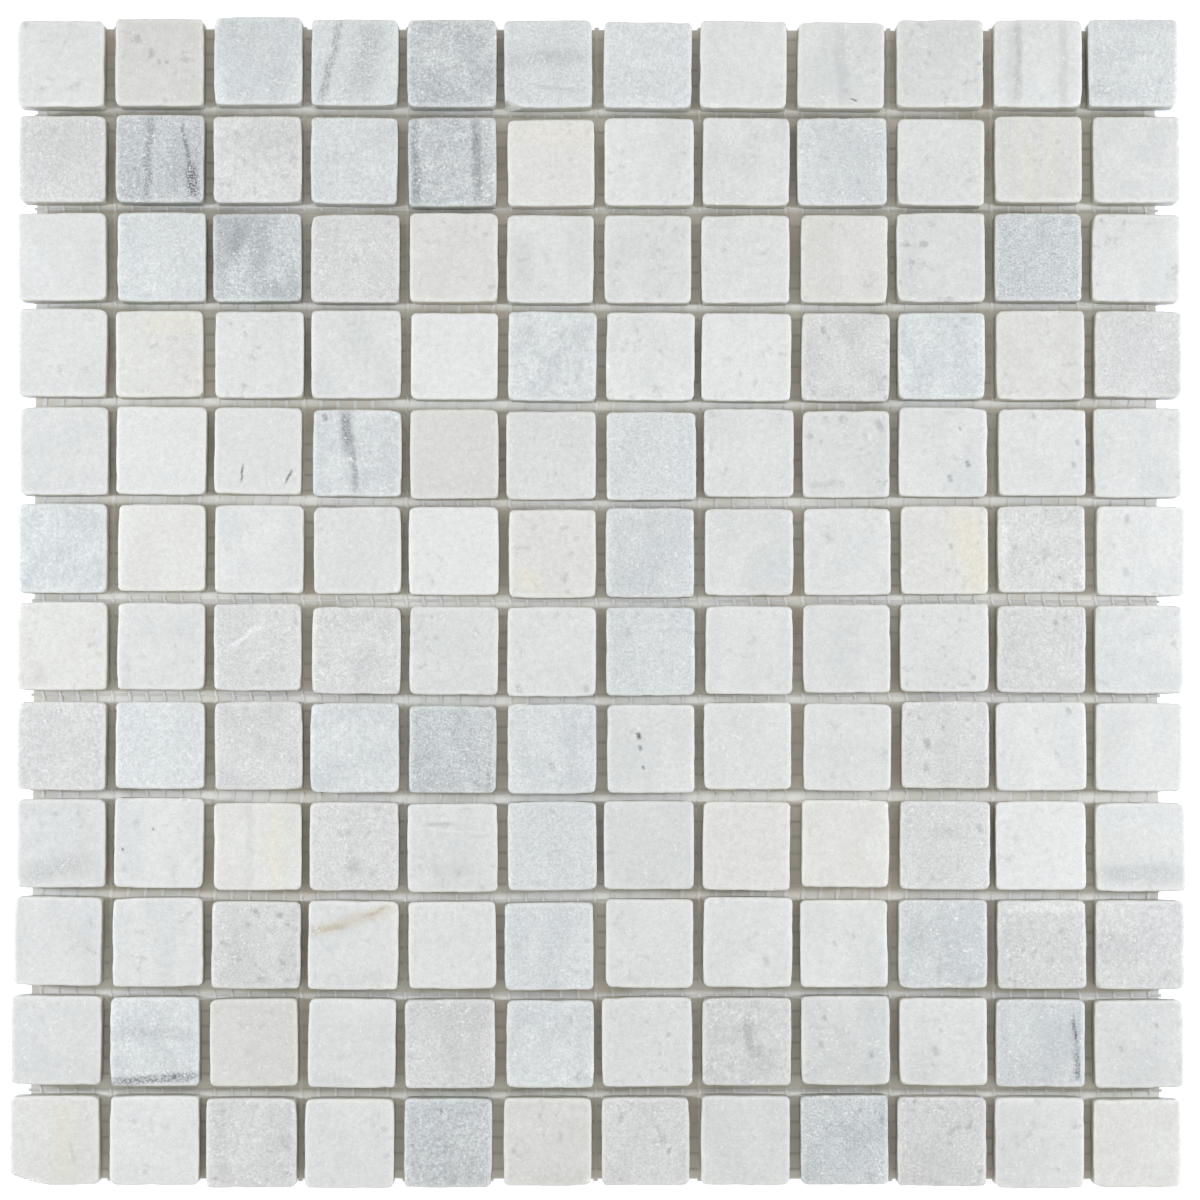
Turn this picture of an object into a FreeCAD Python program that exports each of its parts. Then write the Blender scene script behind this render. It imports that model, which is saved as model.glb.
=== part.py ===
import FreeCAD, Part
import math
import os
import random
import Sketcher

# A stone mosaic sheet: square marble chips set in rows on an open glass-fibre mesh.
# Millimetres. The origin is at the middle of the sheet's back, +Z comes out through
# the faces of the chips, and +Y runs towards the first row.

DRIVING_SIZES = [
    ("column_count", 12, "chips in one row"),
    ("row_count", 12, "rows of chips"),
    ("chip_side", 23.0, "side of a chip of the usual cut"),
    ("cut_spread", 0.35, "how much over or under size a chip may be sawn"),
    ("chip_thick", 7.5, "thickness of the stone"),
    ("joint", 2.4, "open joint between two chips"),
    ("corner_wear", 1.0, "tumbled flat on each upright corner"),
    ("arris_wear", 0.55, "tumbled flat round the face of a chip"),
    ("arris_ease", 0.25, "second, shallower flat between that one and the face"),
    ("back_wear", 0.3, "tumbled flat round the back of a chip"),
    ("bow", 0.55, "sideways bow of the middle rows"),
    ("ripple", 0.4, "height of the wave that runs along each row"),
    ("ripple_chips", 9, "chips in one wave of that ripple"),
    ("drift_chips", 3, "chips that the wave moves back by, from the first row to the last"),
    ("slip", 0.35, "most that one chip is laid out of place"),
    ("twist", 0.6, "most that one chip is turned out of square, in degrees"),
    ("yarn_thick", 0.25, "thickness of one layer of mesh yarns"),
    ("warp_pitch", 4.5, "spacing of the yarns that run up the sheet, each a pair of strands"),
    ("warp_wide", 0.5, "width of one of its strands"),
    ("warp_split", 0.15, "slit between the two strands"),
    ("weft_pitch", 4.1, "spacing of the yarns that run along the rows"),
    ("weft_wide", 0.8, "width of such a yarn"),
    ("left_margin", 3.2, "stone past the mesh at the left edge"),
    ("right_margin", 4.8, "stone past the mesh at the right edge"),
    ("end_margin", 0.6, "stone past the mesh at the first and last rows"),
    ("break_run", 10.0, "length of the large break, along the last row"),
    ("break_rise", 3.4, "height of the large break, up the side of its chip"),
    ("chip_off_run", 5.0, "length of the small break, along the first row"),
    ("chip_off_rise", 2.2, "height of the small break, up the side of its chip"),
    ("break_lean", 12.0, "lean of a broken face out of upright, in degrees"),
]

# Row and column of the broken chips: 1 is the first row or the left end, -1 the last or the right
LARGE_BREAK_AT = (-1, 1)
SMALL_BREAK_AT = (1, 6)
LAYING_SEED = "laid by hand"
QUARTER_TURN = 90

# What more than one piece is placed by
PITCH = "(Sizes.chip_side + Sizes.joint)"
MESH_TOP = "2 * Sizes.yarn_thick"
MESH_WIDE = f"(Sizes.column_count * {PITCH} - Sizes.joint - Sizes.left_margin - Sizes.right_margin)"
MESH_LONG = f"(Sizes.row_count * {PITCH} - Sizes.joint - 2 * Sizes.end_margin)"
MESH_MIDDLE = "(Sizes.left_margin - Sizes.right_margin) / 2"

doc = FreeCAD.newDocument("mosaic_tile_sheet")
sheet = doc.addObject("Spreadsheet::Sheet", "Sizes")
for line, (alias, value, meaning) in enumerate(DRIVING_SIZES, start=1):
    sheet.set(f"A{line}", alias)
    sheet.set(f"B{line}", str(value))
    sheet.set(f"C{line}", meaning)
    sheet.setAlias(f"B{line}", alias)
doc.recompute()


def size(alias):
    """The number in the cell of that name."""
    return float(sheet.get(alias))


def edges_where(shape, wanted):
    """Names of the edges whose two ends pass the test."""
    names = []
    for number, edge in enumerate(shape.Edges, start=1):
        heights = [vertex.Z for vertex in edge.Vertexes]
        if wanted(heights):
            names.append(f"Edge{number}")
    return names


def origin_plane(body, role):
    """One of the body's own origin planes."""
    return [item for item in body.Origin.OriginFeatures if item.Role == role][0]


def flat_sketch(body, name):
    """An empty sketch on the body's XY plane."""
    sketch = body.newObject("Sketcher::SketchObject", name)
    sketch.AttachmentSupport = [(origin_plane(body, "XY_Plane"), "")]
    sketch.MapMode = "FlatFace"
    return sketch


def draw_polygon(sketch, corners):
    """Close a run of straight lines through the corners."""
    for start, end in zip(corners, corners[1:] + corners[:1]):
        begin = FreeCAD.Vector(start[0], start[1], 0)
        finish = FreeCAD.Vector(end[0], end[1], 0)
        sketch.addGeometry(Part.LineSegment(begin, finish), False)
    count = len(corners)
    for line in range(count):
        after = (line + 1) % count
        sketch.addConstraint(Sketcher.Constraint("Coincident", line, 2, after, 1))


def bind(sketch, constraint, expression):
    """Add a dimension to a sketch and bind it to the sizes cells."""
    number = sketch.addConstraint(constraint)
    sketch.setExpression(f"Constraints[{number}]", expression)


def wear(body, base, name, edges, expression):
    """A flat worn along some edges, of the width in a sizes cell."""
    flat = body.newObject("PartDesign::Chamfer", name)
    flat.Base = (base, edges)
    flat.setExpression("Size", expression)
    doc.recompute()
    return flat


def make_chip(name, across, along):
    """A sawn and tumbled block of marble, standing on its back at z = 0."""
    body = doc.addObject("PartDesign::Body", name)
    outline = flat_sketch(body, f"{name}_outline")
    half = size("chip_side") / 2
    draw_polygon(outline, [(-half, -half), (half, -half), (half, half), (-half, half)])
    for line in (0, 2):
        outline.addConstraint(Sketcher.Constraint("Horizontal", line))
    for line in (1, 3):
        outline.addConstraint(Sketcher.Constraint("Vertical", line))
    outline.addConstraint(Sketcher.Constraint("Symmetric", 0, 1, 2, 1, -1, 1))
    bind(outline, Sketcher.Constraint("DistanceX", 0, 1, 0, 2, 2 * half), across)
    bind(outline, Sketcher.Constraint("DistanceY", 1, 1, 1, 2, 2 * half), along)

    block = body.newObject("PartDesign::Pad", f"{name}_block")
    block.Profile = outline
    block.setExpression("Length", "Sizes.chip_thick")
    doc.recompute()

    top = block.Shape.BoundBox.ZMax
    upright = edges_where(block.Shape, lambda heights: max(heights) - min(heights) > top / 2)
    corners = wear(body, block, f"{name}_corners", upright, "Sizes.corner_wear")
    back = edges_where(corners.Shape, lambda heights: max(heights) < top / 2)
    backed = wear(body, corners, f"{name}_back", back, "Sizes.back_wear")
    rim = edges_where(backed.Shape, lambda heights: min(heights) > top - size("back_wear") / 2)
    arris = wear(body, backed, f"{name}_arris", rim, "Sizes.arris_wear")
    rim = edges_where(arris.Shape, lambda heights: min(heights) > top - size("arris_wear") / 2)
    wear(body, arris, f"{name}_ease", rim, "Sizes.arris_ease")
    return body


def break_corner(body, run, rise):
    """Knock off the corner at -X -Y, with a broken face that leans out towards the back."""
    name = body.Name
    outline = flat_sketch(body, f"{name}_break_outline")
    outline.setExpression("AttachmentOffset.Base.z", "Sizes.chip_thick")
    half = size("chip_side") / 2
    draw_polygon(outline, [(-half, -half), (size(run) - half, -half), (-half, size(rise) - half)])
    outline.addConstraint(Sketcher.Constraint("Horizontal", 0))
    outline.addConstraint(Sketcher.Constraint("Vertical", 2))
    bind(outline, Sketcher.Constraint("DistanceX", 0, 1, -1, 1, half), "Sizes.chip_side / 2")
    bind(outline, Sketcher.Constraint("DistanceY", 0, 1, -1, 1, half), "Sizes.chip_side / 2")
    bind(outline, Sketcher.Constraint("DistanceX", 0, 1, 0, 2, size(run)), f"Sizes.{run}")
    bind(outline, Sketcher.Constraint("DistanceY", 2, 2, 2, 1, size(rise)), f"Sizes.{rise}")

    whole = body.Shape.Volume
    broken = body.newObject("PartDesign::Pocket", f"{name}_break")
    broken.Profile = outline
    broken.UseCustomVector = True
    slope = f"tan(Sizes.break_lean * 1 deg) / hypot(Sizes.{run}; Sizes.{rise})"
    broken.setExpression("Direction.x", f"-{slope} * Sizes.{rise}")
    broken.setExpression("Direction.y", f"-{slope} * Sizes.{run}")
    broken.setExpression("Direction.z", "-1")
    broken.setExpression("Length", "Sizes.chip_thick")
    doc.recompute()
    print(f"{name}: {whole - broken.Shape.Volume:.1f} cubic mm broken off {whole:.1f}")
    return body


# The cuts of chip that the sheet is laid from
usual = "Sizes.chip_side"
under = "Sizes.chip_side - Sizes.cut_spread"
over = "Sizes.chip_side + Sizes.cut_spread"
cuts = [
    make_chip("usual_cut", usual, usual),
    make_chip("slim_cut", under, usual),
    make_chip("broad_cut", over, usual),
    make_chip("small_cut", under, under),
]
large_break = break_corner(make_chip("large_break_cut", usual, usual), "break_run", "break_rise")
small_break = break_corner(make_chip("small_break_cut", usual, usual), "chip_off_run", "chip_off_rise")


def lay(name, piece, right, up, height, turn="0"):
    """Place one more of a piece, by expressions in the sizes cells."""
    laid = doc.addObject("App::Link", name)
    laid.LinkedObject = piece
    laid.LinkTransform = True
    laid.setExpression("Placement.Base.x", right)
    laid.setExpression("Placement.Base.y", up)
    laid.setExpression("Placement.Base.z", height)
    laid.setExpression("Placement.Rotation.Angle", turn)
    return laid


def gather(label, pieces):
    """Put laid pieces, which touch nowhere, under one name."""
    group = doc.addObject("Part::Compound", label)
    group.Links = pieces
    group.Label = label
    return group


def from_nearer_end(number, count):
    """1, 2, 3 from the first end, or -1, -2, -3 from the last, whichever is nearer."""
    return number if number <= count / 2 else number - count - 1


def lay_chip_row(row):
    """One row of chips, each a little out of place as hand-laid chips are."""
    from_middle = row - (rows + 1) / 2
    bowed = 2 * math.cos(math.pi * from_middle / rows) - 1
    crest = columns - size("drift_chips") * row / rows
    chips = []
    for column in range(1, columns + 1):
        from_centre = column - (columns + 1) / 2
        wave = math.cos(2 * math.pi * (column - crest) / size("ripple_chips"))
        place = (from_nearer_end(row, rows), from_nearer_end(column, columns))
        laying = random.Random(f"{LAYING_SEED} {place}")
        slip_right = laying.uniform(-1, 1)
        slip_up = laying.uniform(-1, 1)
        twist = laying.uniform(-1, 1)
        cut = laying.choice(cuts)
        turn = QUARTER_TURN * laying.randrange(4)
        if place in broken_chips:
            cut, turn = broken_chips[place], 0
        right = f"{PITCH} * {from_centre} + Sizes.bow * {bowed:.4f} + Sizes.slip * {slip_right:.4f}"
        up = f"{PITCH} * {-from_middle} + Sizes.ripple * {wave:.4f} + Sizes.slip * {slip_up:.4f}"
        turned = f"{turn} + Sizes.twist * {twist:.4f}"
        chips.append(lay(f"chip_{row}_{column}", cut, right, up, MESH_TOP, turned))
    return gather(f"chip_row_{row:02d}", chips)


def make_yarn(name, along_x, along_y):
    """A flat straight yarn, centred on the origin and resting on z = 0."""
    bar = doc.addObject("Part::Box", name)
    bar.setExpression("Length", along_x)
    bar.setExpression("Width", along_y)
    bar.setExpression("Height", "Sizes.yarn_thick")
    bar.setExpression("Placement.Base.x", f"-({along_x}) / 2")
    bar.setExpression("Placement.Base.y", f"-({along_y}) / 2")
    return bar


def lay_weft():
    """The lower layer: single yarns along the rows, one at the middle and the rest each way."""
    yarn = make_yarn("weft_yarn", MESH_WIDE, "Sizes.weft_wide")
    room = size("row_count") * (size("chip_side") + size("joint")) - size("joint")
    room -= 2 * size("end_margin") + size("weft_wide")
    each_side = int(room / 2 / size("weft_pitch"))
    yarns = []
    for step in range(-each_side, each_side + 1):
        up = f"Sizes.weft_pitch * {step}"
        yarns.append(lay(f"weft_{step + each_side}", yarn, MESH_MIDDLE, up, "0"))
    return gather("mesh_weft", yarns)


def lay_warp():
    """The upper layer, which carries the chips: pairs of strands up the sheet."""
    strand = make_yarn("warp_strand", "Sizes.warp_wide", MESH_LONG)
    pair_wide = 2 * size("warp_wide") + size("warp_split")
    room = size("column_count") * (size("chip_side") + size("joint")) - size("joint")
    room -= size("left_margin") + size("right_margin") + pair_wide
    each_side = int(room / 2 / size("warp_pitch"))
    strands = []
    for step in range(-each_side, each_side + 1):
        for side in (-1, 1):
            pair_place = f"{MESH_MIDDLE} + Sizes.warp_pitch * {step}"
            right = f"{pair_place} + {side} * (Sizes.warp_wide + Sizes.warp_split) / 2"
            name = f"warp_{step + each_side}_{'right' if side > 0 else 'left'}"
            strands.append(lay(name, strand, right, "0", "Sizes.yarn_thick"))
    return gather("mesh_warp", strands)


rows = round(size("row_count"))
columns = round(size("column_count"))
broken_chips = {LARGE_BREAK_AT: large_break, SMALL_BREAK_AT: small_break}
chip_rows = [lay_chip_row(row) for row in range(1, rows + 1)]
mesh = [lay_weft(), lay_warp()]
doc.recompute()

for item in doc.Objects:
    if "Invalid" in item.State or "Error" in item.State:
        raise RuntimeError(f"{item.Label} did not build: {item.State}")

os.makedirs("parts", exist_ok=True)
for piece in chip_rows + mesh:
    if piece.Shape.isNull() or not piece.Shape.isValid():
        raise RuntimeError(f"{piece.Label} has no sound shape")
    piece.Shape.exportStep(f"parts/{piece.Label}.step")
    print(f"{piece.Label}: {len(piece.Shape.Solids)} solids, {piece.Shape.Volume:.0f} cubic mm")
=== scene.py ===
# %% [markdown]
# # A sheet of marble mosaic on a glass-fibre mesh
# The real object is a square of small marble chips, laid by hand in straight rows and
# glued to an open mesh. It is sold flat, and it is looked at from above, as here.
# The chips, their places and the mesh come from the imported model, which is loaded first.
# Everything after that gives those plain solids the look of tumbled stone and woven glass.

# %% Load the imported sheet
import math
import random

import bpy
import mathutils
import numpy as np
from mathutils import Matrix, Vector


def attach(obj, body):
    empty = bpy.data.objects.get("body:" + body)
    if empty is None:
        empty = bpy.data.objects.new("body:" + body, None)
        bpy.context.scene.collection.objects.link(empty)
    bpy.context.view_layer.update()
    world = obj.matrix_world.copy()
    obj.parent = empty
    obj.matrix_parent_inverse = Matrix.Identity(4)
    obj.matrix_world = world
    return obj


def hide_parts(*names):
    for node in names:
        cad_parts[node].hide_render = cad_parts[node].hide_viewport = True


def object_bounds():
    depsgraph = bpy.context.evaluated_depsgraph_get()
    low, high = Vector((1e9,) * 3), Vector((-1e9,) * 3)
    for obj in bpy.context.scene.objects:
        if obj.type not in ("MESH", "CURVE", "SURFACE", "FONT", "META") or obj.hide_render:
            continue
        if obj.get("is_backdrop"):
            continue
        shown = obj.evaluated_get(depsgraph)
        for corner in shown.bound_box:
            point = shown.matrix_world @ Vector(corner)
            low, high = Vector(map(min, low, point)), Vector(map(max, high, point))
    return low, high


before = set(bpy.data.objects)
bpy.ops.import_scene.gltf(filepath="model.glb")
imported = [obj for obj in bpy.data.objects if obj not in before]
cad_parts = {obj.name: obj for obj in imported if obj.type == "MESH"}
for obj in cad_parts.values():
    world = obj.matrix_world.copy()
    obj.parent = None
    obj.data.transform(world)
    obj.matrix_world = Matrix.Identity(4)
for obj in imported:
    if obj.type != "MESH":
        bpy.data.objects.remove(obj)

MM = 0.001
sheet_low, sheet_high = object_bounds()
across = (sheet_high - sheet_low) / MM
print(f"sheet: {across.x:.1f} by {across.y:.1f} by {across.z:.1f} mm, {len(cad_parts)} nodes")

# %% [markdown]
# ## The camera
# The photo looks almost straight down from about a metre up. The rows at its foot are drawn
# a little larger than those at its head, and the lower sides of the upper chips just show,
# so the camera stands a little towards the last row and tips back to the middle. A long lens
# from a metre away keeps the joints nearly upright right across the sheet.

# %% Set the camera over the sheet
CAMERA_PLACE = Vector((-4.5, -37.6, 1000.0)) * MM
CAMERA_TILT = math.radians(2.17)
CAMERA_SWING = math.radians(-0.27)
CAMERA_ROLL = math.radians(0.07)
LENS_MM = 115.0
SENSOR_MM = 36.0

bpy.ops.object.select_all(action="DESELECT")
bpy.ops.object.camera_add(location=CAMERA_PLACE)
camera = bpy.context.object
camera.name = "camera"
camera.rotation_mode = "ZYX"
camera.rotation_euler = (CAMERA_TILT, CAMERA_SWING, CAMERA_ROLL)
camera.data.lens = LENS_MM
camera.data.sensor_width = SENSOR_MM
bpy.context.scene.camera = camera
bpy.context.scene.view_settings.view_transform = "Standard"
print(f"camera {CAMERA_PLACE.z:.2f} m up with a {LENS_MM:.0f} mm lens")

# %% [markdown]
# ## Helpers for working as by hand
# Each step picks some faces or edges and acts on them. The operators act on all that is
# selected, so a helper clears the selection first and then picks by place or by normal. The
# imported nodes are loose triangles, so a copy of one is merged before it is parted.

# %% Helpers for selecting and finishing
WELD = 0.001 * MM
QUARTER_TURN = math.pi / 2


def mode(kind):
    """Go into EDIT mode, or back to OBJECT mode."""
    bpy.ops.object.mode_set(mode=kind)


def pick_only(piece):
    """Make a piece the one selected and active object."""
    bpy.ops.object.select_all(action="DESELECT")
    piece.select_set(True)
    bpy.context.view_layer.objects.active = piece


def clear_picks(kind):
    """Drop all picks, ready to pick vertices, edges or faces."""
    mode("EDIT")
    bpy.ops.mesh.select_mode(type=kind)
    bpy.ops.mesh.select_all(action="DESELECT")
    mode("OBJECT")


def pick_faces(piece, wanted):
    """Pick faces by their centre and normal, and stay in edit mode."""
    clear_picks("FACE")
    for face in piece.data.polygons:
        face.select = wanted(face.center, face.normal)
    mode("EDIT")


def pick_edges(piece, wanted):
    """Pick edges by their two ends, and stay in edit mode."""
    clear_picks("EDGE")
    points = piece.data.vertices
    for edge in piece.data.edges:
        edge.select = wanted(points[edge.vertices[0]].co, points[edge.vertices[1]].co)
    mode("EDIT")


def apply_modifiers(piece):
    """Turn every modifier of a piece into real shape."""
    pick_only(piece)
    for modifier in list(piece.modifiers):
        bpy.ops.object.modifier_apply(modifier=modifier.name)


def points_of(piece):
    """The places of a piece's vertices, in metres."""
    places = np.zeros(len(piece.data.vertices) * 3)
    piece.data.vertices.foreach_get("co", places)
    return places.reshape(-1, 3)


def join(pieces, name):
    """Make several pieces one mesh, under a new name."""
    bpy.ops.object.select_all(action="DESELECT")
    for piece in pieces:
        piece.select_set(True)
    bpy.context.view_layer.objects.active = pieces[0]
    bpy.ops.object.join()
    pieces[0].name = name
    return pieces[0]


def duplicate(model):
    """A copy of a piece, with a mesh of its own."""
    copy = model.copy()
    copy.data = model.data.copy()
    bpy.context.scene.collection.objects.link(copy)
    return copy


def solids_of(node_name):
    """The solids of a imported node, each as an object."""
    copy = bpy.data.objects.new("read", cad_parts[node_name].data.copy())
    bpy.context.scene.collection.objects.link(copy)
    pick_only(copy)
    mode("EDIT")
    bpy.ops.mesh.select_all(action="SELECT")
    bpy.ops.mesh.remove_doubles(threshold=WELD)
    bpy.ops.mesh.separate(type="LOOSE")
    mode("OBJECT")
    return list(bpy.context.selected_objects)


def smooth(piece, degrees):
    """Shade smooth, but keep edges sharper than the angle."""
    pick_only(piece)
    bpy.ops.object.shade_smooth_by_angle(angle=math.radians(degrees))


print("helpers ready")

# %% [markdown]
# ## Where each chip lies
# No chip sits quite square or quite in line, and each was sawn a little over or under size.
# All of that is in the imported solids, so it is read from them: a row is parted into its
# chips, and the widest upright face of each tells how the chip is turned.

# %% Read the chips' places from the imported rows
UPRIGHT_RISE = 0.01
LEAST_LEAN = 0.05
MOST_LEAN = 0.5


def turn_of(chip):
    """How far a chip is turned out of square, by its widest upright face."""
    upright = [face for face in chip.data.polygons if abs(face.normal.z) < UPRIGHT_RISE]
    widest = max(upright, key=lambda face: face.area)
    heading = math.atan2(widest.normal.y, widest.normal.x)
    return heading - round(heading / QUARTER_TURN) * QUARTER_TURN


def broken_face_of(chip):
    """The leaning face of a chip that lost a corner, as a place and a normal, or None."""
    leaning = [face for face in chip.data.polygons if LEAST_LEAN < face.normal.z < MOST_LEAN]
    if not leaning:
        return None
    largest = max(leaning, key=lambda face: face.area)
    return largest.center.copy(), largest.normal.copy()


def read_row(node_name):
    """Centre, turn and size of each chip of a row, from left to right."""
    chips = []
    for chip in solids_of(node_name):
        turn = turn_of(chip)
        square = points_of(chip) @ np.array(Matrix.Rotation(-turn, 3, "Z")).T
        low, high = square.min(0), square.max(0)
        middle = Matrix.Rotation(turn, 3, "Z") @ Vector((low + high) / 2)
        chips.append({
            "centre": Vector((middle.x, middle.y, low[2])),
            "turn": turn,
            "size": Vector(high - low),
            "broken": broken_face_of(chip),
        })
        bpy.data.objects.remove(chip)
    return sorted(chips, key=lambda chip: chip["centre"].x)


row_names = sorted(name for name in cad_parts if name.startswith("chip_row"))
chip_rows = [read_row(name) for name in row_names]
all_chips = [chip for row in chip_rows for chip in row]
CHIP_SIDE = float(np.median([chip["size"].x for chip in all_chips]))
CHIP_THICK = all_chips[0]["size"].z
print(f"{len(all_chips)} chips, usual side {CHIP_SIDE / MM:.2f} mm, {CHIP_THICK / MM:.1f} mm thick")

# %% [markdown]
# ## One chip, sawn and tumbled
# A chip starts as a sawn block and goes round a drum with sand until its edges are soft.
# So the outline comes first: a square whose four corners are rounded, each one differently.
# It is pulled up into a block, the edge round the face is rounded more than the edge round
# the back, and at last the corners are drawn in a little, because they wear the most.
# The face was honed flat and stays one flat polygon inside a narrow border.

# %% Model one chip
CORNER_ROUNDS = (1.3 * MM, 1.7 * MM, 1.2 * MM, 1.45 * MM)
CORNER_STEPS = 4
EDGE_CUTS = 13
SIDE_CUTS = 2
ARRIS_ROUND = 0.75 * MM
ARRIS_STEPS = 4
BACK_ROUND = 0.3 * MM
BACK_STEPS = 2
FACE_BORDER = 0.3 * MM
FACING = 0.9
FACING_STRAIGHT = 0.99
HALF = CHIP_SIDE / 2
NEAR = 0.01 * MM

bpy.ops.object.select_all(action="DESELECT")
bpy.ops.mesh.primitive_plane_add(size=CHIP_SIDE)
chip_model = bpy.context.object
chip_model.name = "chip_model"
corners = [vertex.co.copy() for vertex in chip_model.data.vertices]
for corner, rounding in zip(corners, CORNER_ROUNDS):
    clear_picks("VERT")
    for vertex in chip_model.data.vertices:
        vertex.select = (vertex.co - corner).length < NEAR
    mode("EDIT")
    bpy.ops.mesh.bevel(offset=rounding, segments=CORNER_STEPS, affect="VERTICES")
pick_edges(chip_model, lambda a, b: (a - b).length > HALF)
bpy.ops.mesh.subdivide(number_cuts=EDGE_CUTS)
bpy.ops.mesh.select_all(action="SELECT")
bpy.ops.mesh.extrude_region_move(TRANSFORM_OT_translate={"value": (0, 0, CHIP_THICK)})
bpy.ops.mesh.select_all(action="SELECT")
bpy.ops.mesh.normals_make_consistent(inside=False)
pick_edges(chip_model, lambda a, b: abs(a.z - b.z) > CHIP_THICK / 2)
bpy.ops.mesh.subdivide(number_cuts=SIDE_CUTS)
pick_faces(chip_model, lambda centre, normal: normal.z > FACING)
bpy.ops.mesh.region_to_loop()
bpy.ops.mesh.bevel(offset=ARRIS_ROUND, segments=ARRIS_STEPS, affect="EDGES")
pick_faces(chip_model, lambda centre, normal: normal.z > FACING_STRAIGHT)
bpy.ops.mesh.inset(thickness=FACE_BORDER)
pick_faces(chip_model, lambda centre, normal: normal.z < -FACING)
bpy.ops.mesh.region_to_loop()
bpy.ops.mesh.bevel(offset=BACK_ROUND, segments=BACK_STEPS, affect="EDGES")
mode("OBJECT")
print(f"chip: {len(chip_model.data.polygons)} faces")

# %% Say how freely each part of a chip wears, and draw in its corners
CORNER_REACH = 5.0 * MM
DRAWN_IN = 0.993
SIDE_WEAR = 0.3
ARRIS_WEAR = 0.3
CORNER_WEAR = 0.35
BACK_SHARE = 0.6


def wear_weight(point):
    """Most on the rounded edges, some on the sawn sides, nothing on the honed face."""
    to_edge = HALF - max(abs(point.x), abs(point.y))
    to_corner = HALF - min(abs(point.x), abs(point.y))
    below_face = CHIP_THICK - point.z
    if to_edge > ARRIS_ROUND + NEAR:
        return 0.0
    at_corner = max(0.0, 1.0 - to_corner / CORNER_REACH)
    on_arris = ARRIS_WEAR if below_face < ARRIS_ROUND + NEAR else 0.0
    worn = SIDE_WEAR + on_arris + CORNER_WEAR * at_corner
    return worn if point.z > BACK_ROUND + NEAR else BACK_SHARE * worn


wear = chip_model.vertex_groups.new(name="wear")
for vertex in chip_model.data.vertices:
    wear.add([vertex.index], wear_weight(vertex.co), "REPLACE")
clear_picks("VERT")
for vertex in chip_model.data.vertices:
    vertex.select = min(abs(vertex.co.x), abs(vertex.co.y)) > HALF - max(CORNER_ROUNDS)
mode("EDIT")
bpy.ops.transform.resize(
    value=(DRAWN_IN, DRAWN_IN, 1.0), center_override=(0, 0, 0), use_proportional_edit=True,
    proportional_edit_falloff="SMOOTH", proportional_size=CORNER_REACH,
)
mode("OBJECT")
print("wear painted on the chip")

# %% [markdown]
# ## Which chip is which
# The chips come from many slabs of one quarry, shuffled: most are white, some are misty
# blue, pearl grey or cream, and a few are smoky. Rows count from the top of the sheet and
# columns from the left, both from one, as in the names of the rows. Each list gives the
# number of a row, and then its columns.

# %% The stone of each chip
SMOKY = {1: [5], 2: [2, 5], 3: [3, 11], 8: [5], 12: [5, 9]}
MISTY = {
    1: [3, 4, 6, 7, 12], 2: [4, 9], 3: [2], 4: [6, 10], 5: [4, 7], 6: [1, 7], 7: [7], 8: [2, 4, 6],
    9: [6], 10: [6, 10], 11: [2, 6, 11],
}
PEARL = {
    2: [1, 3], 3: [4], 4: [9, 12], 6: [11], 7: [3, 4, 11], 8: [1, 3, 10], 9: [4, 10],
    10: [3, 11, 12], 11: [5, 8], 12: [3, 7, 10],
}
CREAM = {
    1: [2], 2: [6, 11], 3: [5, 9], 4: [2, 11], 5: [5], 6: [2, 6, 10], 7: [1], 9: [3, 8, 9], 11: [3],
    12: [1, 6, 12],
}
STONES = {"smoky": SMOKY, "misty": MISTY, "pearl": PEARL, "cream": CREAM}


def stone_at(row, column):
    """The name of the stone at a place on the sheet."""
    for name, places in STONES.items():
        if column in places.get(row, []):
            return name
    return "white"


marbles = {name: bpy.data.materials.new(f"{name}_marble") for name in ("white", *STONES, "broken")}
print(f"{len(marbles)} kinds of marble")

# %% [markdown]
# ## The rows
# The one model is copied to every place, each copy with a mesh of its own, turned a quarter
# at random so that no two neighbours share their grain, and stretched to its chip's size.
# Soft noise then wears it: it reads the place in space, so no two chips wear alike, and it
# only ever takes stone away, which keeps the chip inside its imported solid. Nicks and broken
# corners are cut one chip at a time, or a cutter would reach the next chip too.

# %% Noise that wears the stone
SIDE_WAVE = 8.0 * MM
EDGE_WAVE = 2.0 * MM
SIDE_DEPTH = 0.35 * MM
EDGE_DEPTH = 0.18 * MM
WAVE_LAYERS = 2
WORN_DOWN = 0.2
STILL_WHOLE = 0.5


def wear_texture(name, scale):
    """Clouds that are white, which is no wear, but for their dark dips."""
    texture = bpy.data.textures.new(name, "CLOUDS")
    texture.noise_scale = scale
    texture.noise_depth = WAVE_LAYERS
    texture.use_color_ramp = True
    dark, light = texture.color_ramp.elements
    dark.position, dark.color = WORN_DOWN, (0, 0, 0, 1)
    light.position, light.color = STILL_WHOLE, (1, 1, 1, 1)
    return texture


side_texture = wear_texture("side_wave", SIDE_WAVE)
edge_texture = wear_texture("edge_wave", EDGE_WAVE)


def wear_down(piece, texture, depth):
    """Take up to that depth of stone away, where the texture is dark."""
    worn = piece.modifiers.new(texture.name, "DISPLACE")
    worn.texture = texture
    worn.texture_coords = "LOCAL"
    worn.mid_level = 1.0
    worn.strength = depth
    worn.vertex_group = "wear"


print(f"wear up to {(SIDE_DEPTH + EDGE_DEPTH) / MM:.2f} mm deep")

# %% Nicks and broken corners
NICK_SHARE = 0.4
NICK_ROUND = (1.2 * MM, 3.2 * MM)
NICK_BITE = (0.10 * MM, 0.45 * MM)
NICK_ALONG = 0.45
PEBBLE_STEPS = 3
PEBBLE_ROUGH = 0.12
BREAK_ROUGH = 0.5 * MM
BREAK_WAVE = 1.4 * MM
BLOW_SIZE = 16 * MM
BLOW_CUTS = 30
LAYING_SEED = 7

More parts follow.
